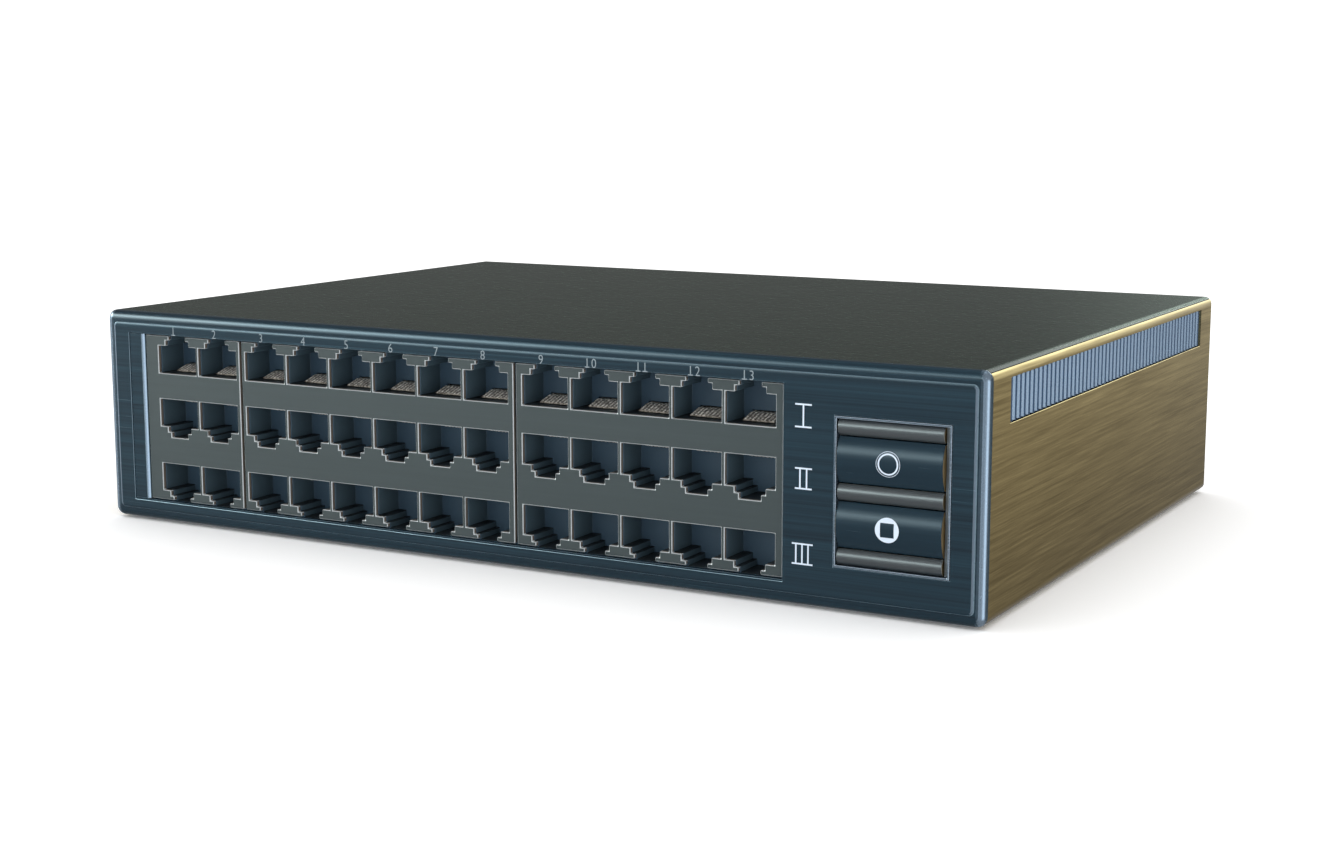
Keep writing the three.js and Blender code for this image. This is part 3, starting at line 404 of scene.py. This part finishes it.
FINISH = {
    "bezel_blue": brushed(
        "bezel_blue", "233e4c", "162834", **LINES_X,
        # The corner colour is a painted highlight on the bezel's upright roundings
        roughness=0.24, metallic=0.35, depth=0.004, corner_highlight="99adc0",
    ),
    "cover_olive": brushed(
        "cover_olive", "2d3831", "1e2722", **ALONG_X,
        roughness=0.26, metallic=0.72, edge=(0.22, 0.29, 0.24),
    ),
    "cheek_bronze": brushed(
        "cheek_bronze", "ae9e74", "746645", **ALONG_Y,
        roughness=0.2, metallic=1.0, edge=(0.5, 0.5, 0.5), contrast=0.8, shade=0.66,
    ),
    "vent_blue": brushed(
        "vent_blue", "34567a", "284664", **ALONG_Z,
        # The corner colour is a painted highlight on the vent ribs' rounded sides
        roughness=0.24, metallic=0.5, contrast=0.4, corner_highlight="c6e0fb",
    ),
    "plate_grey": brushed(
        "plate_grey", "3f494c", "384144", **ALONG_X,
        # The wall colour is a painted reflection of warm light on the walls of the openings
        roughness=0.42, metallic=0.3, contrast=0.5, wall_light="7a7068",
    ),
    "bar_grey": brushed(
        "bar_grey", "646a6e", "585e62", **ALONG_X,
        # The end colour is painted warm light on the bars' left and right ends
        roughness=0.32, metallic=0.72, contrast=0.6, end_light="a48f68",
    ),
    "cap_blue": brushed(
        "cap_blue", "1a3341", "152c39", **ALONG_X,
        # The end colour is painted warm light on the caps' left and right ends
        roughness=0.24, metallic=0.3, contrast=0.4, end_light="a08c66",
    ),
    "trim_blue": brushed(
        "trim_blue", "6c7e8e", "5f7080", **ALONG_X,
        roughness=0.26, metallic=0.6, contrast=0.4,
    ),
    "tray_steel": brushed("tray_steel", "9a9da0", "85888b", **ALONG_X, roughness=0.36, metallic=0.9),
    "steel_bright": brushed("steel_bright", "b5b8ba", "9a9da0", **ALONG_X, roughness=0.28, metallic=1.0),
    "heat_sink_metal": brushed(
        "heat_sink_metal", "a2a5a8", "8d9093", **ALONG_Y,
        roughness=0.35, metallic=1.0,
    ),
    # The jack's colours by facing are painted light and shade
    "jack_navy": jack_plastic("jack_navy", sides="485c67", back_light="415c71", floor_shade="12171b", clouds="38464f"),
    "contact_gold": speckled("contact_gold", "a8a297", "686159", roughness=0.5, metallic=0.2),
    "board_green": moulded("board_green", "1f5a3c", roughness=0.45, grain=700),
    "chip_black": moulded("chip_black", "1c1c1e", roughness=0.5),
    "plastic_black": moulded("plastic_black", "18191b", roughness=0.45),
    "winding_amber": moulded("winding_amber", "9c6a2c", roughness=0.4, grain=500),
    "foot_rubber": moulded("foot_rubber", "17181a", roughness=0.85),
}
CONTACT_WIRE = speckled("contact_wire", "fffaf2", "a09a92", roughness=0.45, metallic=0.1)
PRINT_LIGHT = moulded("print_light", "d8e6f6", roughness=0.7, variation=0.04)
PRINT_GREY = moulded("print_grey", "8d9aa1", roughness=0.7, variation=0.04)

# ---------------------------------------------------------------------------------------------------
# CAD nodes: their finishes, with small edges broken and rounded faces smooth

WELD_WITHIN = 0.002  # millimetres
FLAT_WITHIN = math.radians(0.5)
SHARP_OVER = math.radians(29)  # an edge that turns further than this is drawn sharp
BROKEN_OVER = math.radians(40)  # and one that turns further than this is broken
FACE_AREA_WEIGHT = 100
# How wide the broken edges are, in millimetres
PLAIN_EDGE = 0.1
EDGE = {"plate_grey": 0.18, "trim_blue": 0.09, "foot_rubber": 0.3}
# Edges that show as bright lines, by slot: a lighter material on their bevel faces as a painted highlight
PAINTED_EDGE_HIGHLIGHT = {
    "plate_grey": brushed("plate_edge", "ccd2d4", "b4bbbe", **ALONG_X, roughness=0.4, metallic=0.2),
    "bezel_blue": brushed("bezel_edge", "8098a6", "6c8492", **ALONG_X, roughness=0.3, metallic=0.4),
    "bar_grey": brushed("bar_edge", "8c8f8c", "70736f", **ALONG_X, roughness=0.3, metallic=0.6),
    "trim_blue": brushed("trim_edge", "b9c8d6", "a6b6c5", **ALONG_X, roughness=0.3, metallic=0.4),
}


def make_smoothing():
    """A modifier's node group: every face smooth, every edge over an angle sharp."""
    group = bpy.data.node_groups.new("smooth_by_angle", "GeometryNodeTree")
    group.interface.new_socket("Geometry", in_out="INPUT", socket_type="NodeSocketGeometry")
    group.interface.new_socket("Geometry", in_out="OUTPUT", socket_type="NodeSocketGeometry")
    tree = Tree(group)
    start = tree.add("NodeGroupInput")
    faces = tree.add("GeometryNodeSetShadeSmooth", {"Geometry": start, "Shade Smooth": True}, domain="FACE")
    angle = tree.add("GeometryNodeInputMeshEdgeAngle").outputs["Unsigned Angle"]
    sharp = tree.add("FunctionNodeCompare", {0: angle, 1: SHARP_OVER}, operation="GREATER_THAN")
    edges = tree.add(
        "GeometryNodeSetShadeSmooth",
        {"Geometry": faces, "Selection": sharp, "Shade Smooth": False},
        domain="EDGE",
    )
    tree.add("NodeGroupOutput", {0: edges})
    return group


SMOOTHING = make_smoothing()


def join_flats(node):
    """The triangles of each flat face as one face."""
    weld = node.modifiers.new("weld", "WELD")
    weld.merge_threshold = WELD_WITHIN * MM
    flat = node.modifiers.new("flat", "DECIMATE")
    flat.decimate_type = "DISSOLVE"
    flat.angle_limit = FLAT_WITHIN


def break_edges(node, slot):
    edge = node.modifiers.new("edge", "BEVEL")
    edge.width = EDGE.get(slot, PLAIN_EDGE) * MM
    edge.segments = 1
    edge.limit_method = "ANGLE"
    edge.angle_limit = BROKEN_OVER
    # The bevel faces of these slots take the lighter material of the painted highlight
    if slot in PAINTED_EDGE_HIGHLIGHT:
        node.data.materials.append(PAINTED_EDGE_HIGHLIGHT[slot])
        edge.material = 1


def smooth_roundings(node):
    smooth = node.modifiers.new("smooth", "NODES")
    smooth.node_group = SMOOTHING
    weighted = node.modifiers.new("weighted", "WEIGHTED_NORMAL")
    weighted.mode = "FACE_AREA"
    weighted.weight = FACE_AREA_WEIGHT
    weighted.keep_sharp = True


def finish_node(node, slot):
    node.data.materials.clear()
    node.data.materials.append(FINISH[slot])
    join_flats(node)
    break_edges(node, slot)
    smooth_roundings(node)


for part in frame["record"]["subparts"]:
    finish_node(frame["nodes"][part["node"]], part["material_slot"])

# ---------------------------------------------------------------------------------------------------
# Pieces

MERGE_WITHIN = 1e-6  # metres


def piece(name, mesh, material, body="chassis"):
    obj = bpy.data.objects.new(name, mesh)
    bpy.context.scene.collection.objects.link(obj)
    mesh.materials.append(material)
    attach(obj, body)


def clean(mesh, merge=False):
    """Turns a mesh's faces outwards, and merges the points that lie at one place if asked to."""
    work = bmesh.new()
    work.from_mesh(mesh)
    if merge:
        bmesh.ops.remove_doubles(work, verts=work.verts, dist=MERGE_WITHIN)
    bmesh.ops.recalc_face_normals(work, faces=work.faces)
    work.to_mesh(mesh)
    work.free()


def mesh_of(name, verts, faces):
    mesh = bpy.data.meshes.new(name)
    mesh.from_pydata(verts, [], faces)
    mesh.update()
    clean(mesh)
    return mesh


# Printed marks, in millimetres: how far they stand out of the surface and how far they reach into it.
# PRINT_MIDDLE is the y of the middle of their thickness, on the face panel.
PRINT_PROUD = 0.04
PRINT_SUNK = 0.04
PRINT_THICKNESS = PRINT_PROUD + PRINT_SUNK
PRINT_MIDDLE = -PANEL_RAISE + (PRINT_SUNK - PRINT_PROUD) / 2


def flat_print(curve):
    """A flat curve's filled outline as a thin solid mesh, in millimetres: X, height, depth."""
    curve.extrude = PRINT_THICKNESS / 2
    drawing = bpy.data.objects.new(curve.name, curve)
    bpy.context.scene.collection.objects.link(drawing)
    depsgraph = bpy.context.evaluated_depsgraph_get()
    mesh = bpy.data.meshes.new_from_object(drawing.evaluated_get(depsgraph))
    bpy.data.objects.remove(drawing)
    return mesh


def on_panel(vertices, x, z):
    """Moves points from X, height, depth in millimetres to their place on the face panel."""
    for vertex in vertices:
        across, up, depth = vertex.co
        vertex.co = at(x + across, PRINT_MIDDLE - depth, z + up)


DIGIT_HEIGHT = 2.22
DIGIT_NARROWING = 0.9  # these digits are narrower than the font's, for their height
DIGIT_BOTTOM = 50.97
DIGIT_PITCH = 1.86
DIGIT_THINNING = -0.008  # in parts of the font's size
# The bar under a 1. It is a little thicker than the digit, so no face of one lies in a face of the other.
ONE_FOOT_WIDTH = 1.25
ONE_FOOT_HEIGHT = 0.26
ONE_FOOT_THICKNESS = PRINT_THICKNESS * 1.04
NUMBER_GROUPS = [(24.0, 14.1, 2), (54.0, 13.9, 6), (140.3, 13.93, 5)]  # first middle, pitch, numbers


def digit_mesh(digit, name):
    """One digit, with its lower edge at 0 and its middle at 0."""
    curve = bpy.data.curves.new(name, "FONT")
    curve.body = digit
    curve.offset = DIGIT_THINNING
    mesh = flat_print(curve)
    tops = [v.co.y for v in mesh.vertices]
    sides = [v.co.x for v in mesh.vertices]
    tall = DIGIT_HEIGHT / (max(tops) - min(tops))
    wide = tall * DIGIT_NARROWING
    middle = (min(sides) + max(sides)) / 2
    for vertex in mesh.vertices:
        x, z, depth = vertex.co
        vertex.co = ((x - middle) * wide, (z - min(tops)) * tall, depth)
    return mesh


def add_foot(target, middle):
    """The bar under a 1, from a cube of side 1 round 0."""
    made = bmesh.ops.create_cube(target, size=1.0)
    for vertex in made["verts"]:
        x, z, depth = vertex.co
        vertex.co = (middle + x * ONE_FOOT_WIDTH, (z + 0.5) * ONE_FOOT_HEIGHT, depth * ONE_FOOT_THICKNESS)


def number_mesh(number, middle):
    """One number on the face panel."""
    text = str(number)
    drawn = bmesh.new()
    for place, digit in enumerate(text):
        offset = (place - (len(text) - 1) / 2) * DIGIT_PITCH
        mesh = digit_mesh(digit, f"number_{number}_{place}")
        mesh.transform(Matrix.Translation((offset, 0, 0)))
        drawn.from_mesh(mesh)
        bpy.data.meshes.remove(mesh)
        if digit == "1":
            add_foot(drawn, offset)
    on_panel(drawn.verts, middle, DIGIT_BOTTOM)
    mesh = bpy.data.meshes.new(f"number_{number}")
    drawn.to_mesh(mesh)
    drawn.free()
    return mesh


def port_numbers():
    """The numbers 1 to 13 above the upper row."""
    middles = [first + pitch * i for first, pitch, count in NUMBER_GROUPS for i in range(count)]
    joined = bmesh.new()
    for number, middle in enumerate(middles, 1):
        mesh = number_mesh(number, middle)
        joined.from_mesh(mesh)
        bpy.data.meshes.remove(mesh)
    mesh = bpy.data.meshes.new("port_numbers")
    joined.to_mesh(mesh)
    joined.free()
    clean(mesh, merge=True)
    piece("port_numbers", mesh, PRINT_GREY)


# Row numerals: middle, half width, bottom, top, middles of the uprights
NUMERALS = {
    "one": (210.0, 2.05, 41.1, 46.6, [210.0]),
    "two": (210.15, 2.1, 27.0, 32.0, [209.3, 210.95]),
    "three": (210.05, 2.6, 9.6, 14.6, [208.45, 210.0, 211.5]),
}
STROKE = 0.37


def numeral_outlines(middle, half, bottom, top, uprights):
    """Two bars with uprights between them: one outline, and a hole between each two uprights."""
    left, right = middle - half, middle + half
    low, high = bottom + STROKE, top - STROKE
    first, last = uprights[0] - STROKE / 2, uprights[-1] + STROKE / 2
    lower_bar = [(left, bottom), (right, bottom), (right, low), (last, low)]
    upper_bar = [(last, high), (right, high), (right, top), (left, top), (left, high), (first, high)]
    outlines = [lower_bar + upper_bar + [(first, low), (left, low)]]
    for a, b in zip(uprights, uprights[1:]):
        inner_left, inner_right = a + STROKE / 2, b - STROKE / 2
        outlines.append([(inner_left, low), (inner_left, high), (inner_right, high), (inner_right, low)])
    return outlines


def numeral_curve(name, outlines):
    curve = bpy.data.curves.new(name, "CURVE")
    curve.dimensions = "2D"
    curve.fill_mode = "BOTH"
    for outline in outlines:
        spline = curve.splines.new("POLY")
        spline.points.add(len(outline) - 1)
        for point, (x, z) in zip(spline.points, outline):
            point.co = (x, z, 0, 1)
        spline.use_cyclic_u = True
    return curve


def row_numerals():
    """The numerals I to III at the right of the rows."""
    for name, numbers in NUMERALS.items():
        mesh = flat_print(numeral_curve(f"numeral_{name}", numeral_outlines(*numbers)))
        on_panel(mesh.vertices, 0, 0)
        clean(mesh, merge=True)
        piece(f"numeral_{name}", mesh, PRINT_LIGHT)


CAP_CROWN = 1.5 * MM  # how far a cap's front bulges
MARK_X = 230.95  # the middle of the marks


def cap_surface(node):
    """The y of a cap's bulged front at a height, from the cap's box."""
    low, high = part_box(node)
    half = (high.z - low.z) / 2
    radius = (half * half + CAP_CROWN * CAP_CROWN) / (2 * CAP_CROWN)
    middle = (high.z + low.z) / 2
    return lambda z: low.y + radius - math.sqrt(radius * radius - (z - middle) ** 2)


def mark_faces(turns, rings):
    """The faces of a mark whose front and back are steps from an inner to an outer outline."""
    faces = []
    layer = (rings + 1) * turns
    for k in range(rings):
        for i in range(turns):
            j = (i + 1) % turns
            a, b, c, d = k * turns + i, k * turns + j, (k + 1) * turns + j, (k + 1) * turns + i
            faces.append((a, b, c, d))
            faces.append((layer + a, layer + d, layer + c, layer + b))
    for k in (0, rings):
        for i in range(turns):
            j = (i + 1) % turns
            edge = (k * turns + i, k * turns + j, layer + k * turns + j, layer + k * turns + i)
            faces.append(edge if k else edge[::-1])
    return faces


def cap_mark(name, cap, body, inner, outer, turns, rings):
    """A mark on a cap, between two outlines given as radius by angle, in millimetres."""
    low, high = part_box(cap)
    surface_y = cap_surface(cap)
    middle = Vector((at(MARK_X, 0, 0).x, 0, (low.z + high.z) / 2))
    verts = []
    for offset in (-PRINT_PROUD * MM, PRINT_SUNK * MM):
        for k in range(rings + 1):
            for i in range(turns):
                angle = 2 * math.pi * (i + 0.5) / turns
                radius = (inner(angle) + (outer(angle) - inner(angle)) * k / rings) * MM
                z = middle.z + radius * math.sin(angle)
                verts.append((middle.x + radius * math.cos(angle), surface_y(z) + offset, z))
    piece(name, mesh_of(name, verts, mark_faces(turns, rings)), PRINT_LIGHT, body)


def round_outline(radius):
    return lambda angle: radius


def square_outline(half):
    return lambda angle: half / max(abs(math.cos(angle)), abs(math.sin(angle)))


# Marks on the caps: name, cap and body, inner and outer outline, points round an outline, steps between them
CAP_MARKS = [
    ("ring_mark", "button_cap_upper", "button_upper", round_outline(2.1), round_outline(2.46), 72, 2),
    ("ring_mark_rim", "button_cap_upper", "button_upper", round_outline(2.78), round_outline(2.88), 72, 1),
    ("disc_mark", "button_cap_lower", "button_lower", square_outline(1.65), round_outline(2.85), 96, 6),
]

# The contacts lie on the inserts' tongues, whose upper faces rise from y 4.8 to 8.6 mm and go on level
JACK_ROWS = {"upper": (40.45, 1), "middle": (26.0, -1), "lower": (8.4, -1)}  # floor, and which way is up
JACK_GROUPS = {"left": (17.7, 2), "middle": (47.67, 6), "right": (134.2, 5)}  # first jack's left side, jacks
JACK_PITCH = 13.88
JACK_WIDTH = 13.0
JACK_HEIGHT = 7.5
WIRES = 8
WIRE_PITCH = 1.02
WIRE_HALF = 0.27
WIRE_RISE = 0.16
# Along a wire: y, and its underside's distance from the jack's floor
WIRE_PATH = [(4.9, 0.48), (8.6, 1.6), (10.2, 1.6)]
# Across a wire: x and height, as parts of WIRE_HALF and WIRE_RISE
WIRE_SECTION = [(-1, 0), (-0.75, 0.7), (0, 1), (0.75, 0.7), (1, 0)]


def wire_points(x, base, up):
    """The points of a wire's section at each place along its path."""
    points = []
    for y, height in WIRE_PATH:
        for across, rise in WIRE_SECTION:
            z = base + up * (height + rise * WIRE_RISE)
            points.append(at(x + across * WIRE_HALF, y, z))
    return points


def wire_faces(start):
    """The faces of a wire whose first point has the number start."""
    count = len(WIRE_SECTION)
    faces = []
    for k in range(len(WIRE_PATH) - 1):
        for i in range(count):
            j = (i + 1) % count
            a, b = start + k * count, start + (k + 1) * count
            faces.append((a + i, a + j, b + j, b + i))
    last = start + (len(WIRE_PATH) - 1) * count
    faces.append([start + i for i in range(count)][::-1])
    faces.append([last + i for i in range(count)])
    return faces


def contact_wires(row, group):
    """The wires of one row's jacks in one group."""
    floor, up = JACK_ROWS[row]
    first, jacks = JACK_GROUPS[group]
    base = floor if up > 0 else floor + JACK_HEIGHT
    verts, faces = [], []
    for jack in range(jacks):
        middle = first + jack * JACK_PITCH + JACK_WIDTH / 2
        for wire in range(WIRES):
            faces += wire_faces(len(verts))
            verts += wire_points(middle + (wire - (WIRES - 1) / 2) * WIRE_PITCH, base, up)
    name = f"contact_wires_{row}_{group}"
    piece(name, mesh_of(name, verts, faces), CONTACT_WIRE)


port_numbers()
row_numerals()
for mark in CAP_MARKS:
    cap_mark(*mark)
for row in JACK_ROWS:
    for group in JACK_GROUPS:
        contact_wires(row, group)
